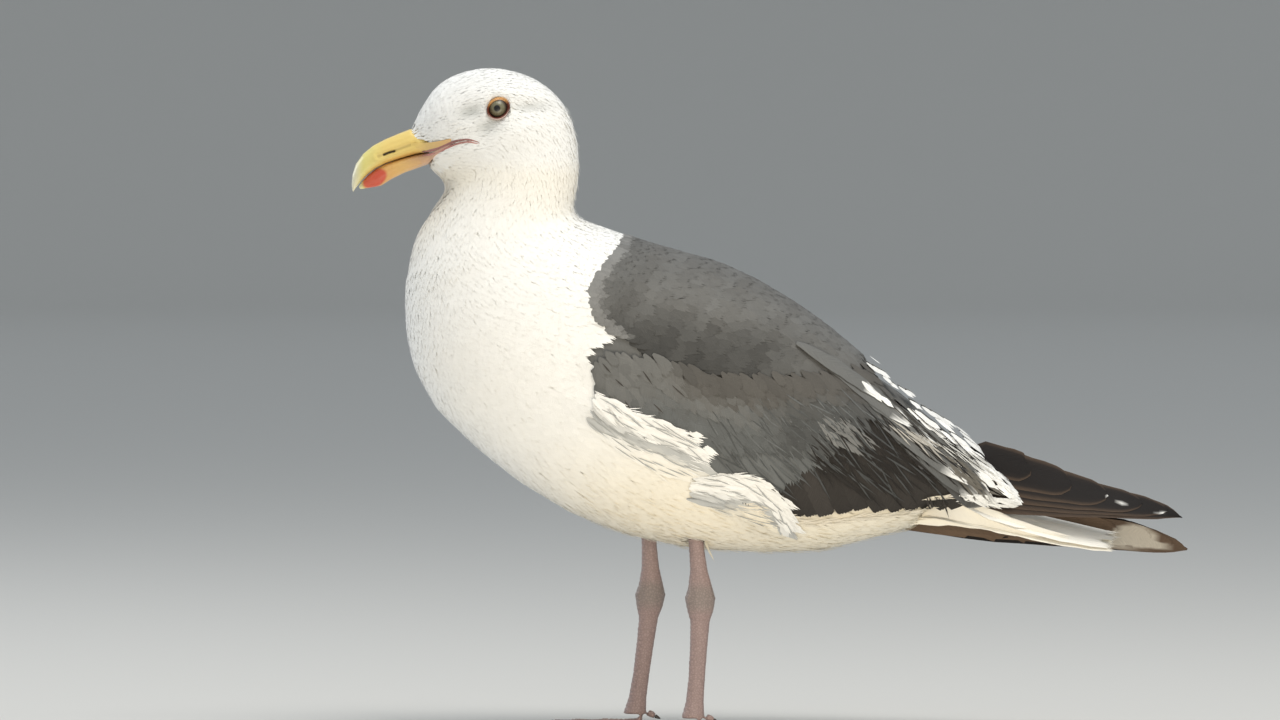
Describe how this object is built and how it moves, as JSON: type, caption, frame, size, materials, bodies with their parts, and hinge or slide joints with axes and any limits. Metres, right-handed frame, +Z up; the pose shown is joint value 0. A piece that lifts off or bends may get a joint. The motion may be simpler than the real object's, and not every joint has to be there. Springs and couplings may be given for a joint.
{
  "type": "standing western gull model",
  "caption": "Life-size still model of an adult western gull standing on both webbed feet, wings folded, for display as in a museum.",
  "frame": {"origin": "middle of the bird's bounding box, on the floor it stands on", "axes": "+Z up; the bird faces -X and its left side is towards -Y"},
  "size_m": [0.5106, 0.1446, 0.4041],
  "materials": {
    "white_feathers": "soft white feathers",
    "slate_feathers": "smooth slate-grey feathers",
    "dark_feathers": "dark brownish-grey flight feathers with white tips",
    "black_feathers": "black-brown flight feathers",
    "bill": "semi-gloss yellow horn with a red spot",
    "eye": "wet glossy eye",
    "leg_skin": "scaly pink leg skin",
    "claw": "dark horn"
  },
  "bodies": {
    "root": {"head": "white_feathers", "neck": "white_feathers", "trunk": "white_feathers", "tail": "white_feathers", "mantle": "slate_feathers", "wing_coverts_left": "slate_feathers", "wing_coverts_right": "slate_feathers", "wing_secondaries_left": "dark_feathers", "wing_secondaries_right": "dark_feathers", "wing_primaries_left": "black_feathers", "wing_primaries_right": "black_feathers", "bill_upper": "bill", "bill_lower": "bill", "eye_left": "eye", "eye_right": "eye", "shank_left": "leg_skin", "shank_right": "leg_skin", "tarsus_left": "leg_skin", "tarsus_right": "leg_skin", "foot_left": "leg_skin", "foot_right": "leg_skin", "hallux_left": "leg_skin", "hallux_right": "leg_skin", "claw_inner_left": "claw", "claw_inner_right": "claw", "claw_middle_left": "claw", "claw_middle_right": "claw", "claw_outer_left": "claw", "claw_outer_right": "claw", "claw_hind_left": "claw", "claw_hind_right": "claw"}
  },
  "joints": []
}
